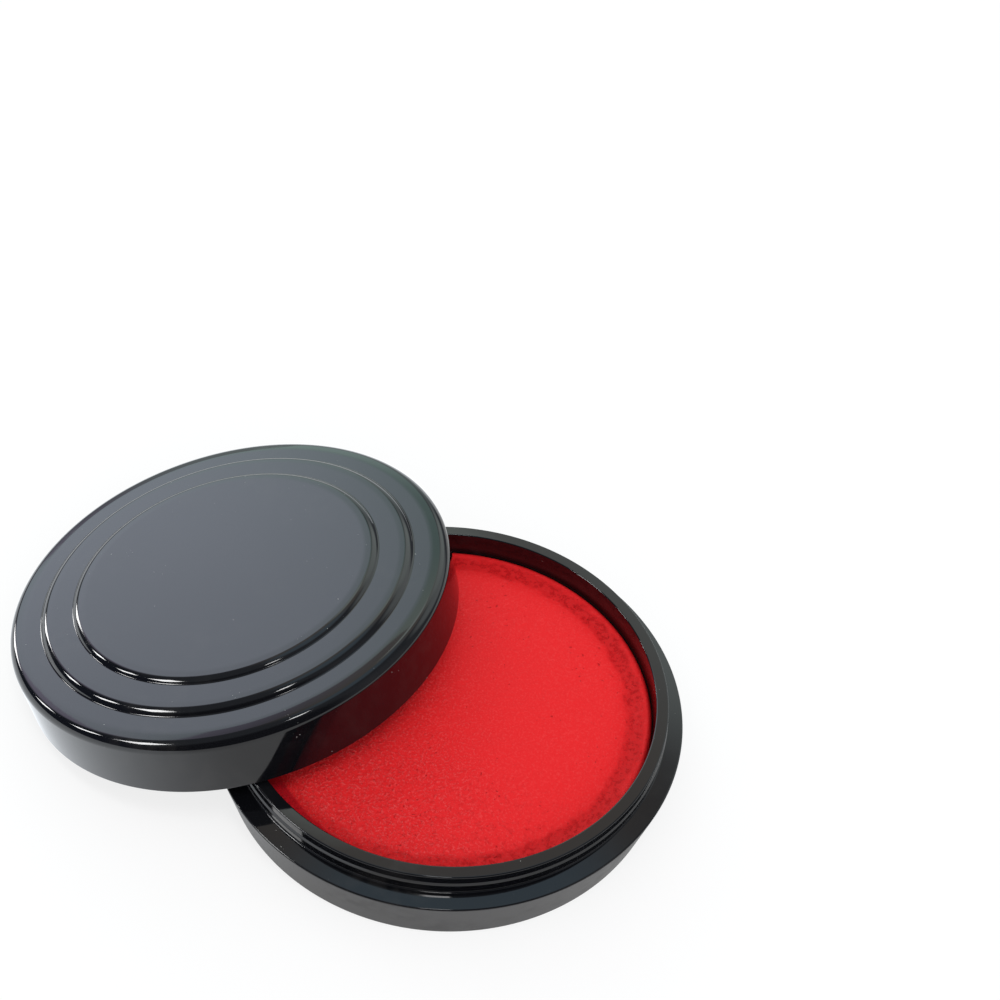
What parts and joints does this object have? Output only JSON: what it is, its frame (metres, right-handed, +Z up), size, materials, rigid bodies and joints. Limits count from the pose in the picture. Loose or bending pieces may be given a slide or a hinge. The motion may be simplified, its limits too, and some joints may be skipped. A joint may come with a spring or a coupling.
{
  "type": "seal paste box",
  "caption": "Round plastic box of red seal paste with a stepped lift-off lid that leans on its rim.",
  "frame": {"origin": "centre of the base's underside, in the plane of its foot ring, on the table", "axes": "+Z up along the base's axis; the lid leans down towards -X; the part is symmetric about the XZ plane"},
  "size_m": [0.1486, 0.1, 0.036],
  "materials": {
    "box_plastic": "moulded, polished black",
    "seal_paste": "oily, fine fibrous grain",
    "lid_plastic": "moulded, polished black"
  },
  "bodies": {
    "base": {"base_box": "box_plastic", "seal_paste": "seal_paste"},
    "lid": {"lid": "lid_plastic"}
  },
  "joints": [
    {"name": "lid_lift", "type": "slide", "parent": "base", "child": "lid", "axis": [0, 0, 1], "range_m": [0, 0.06]}
  ]
}
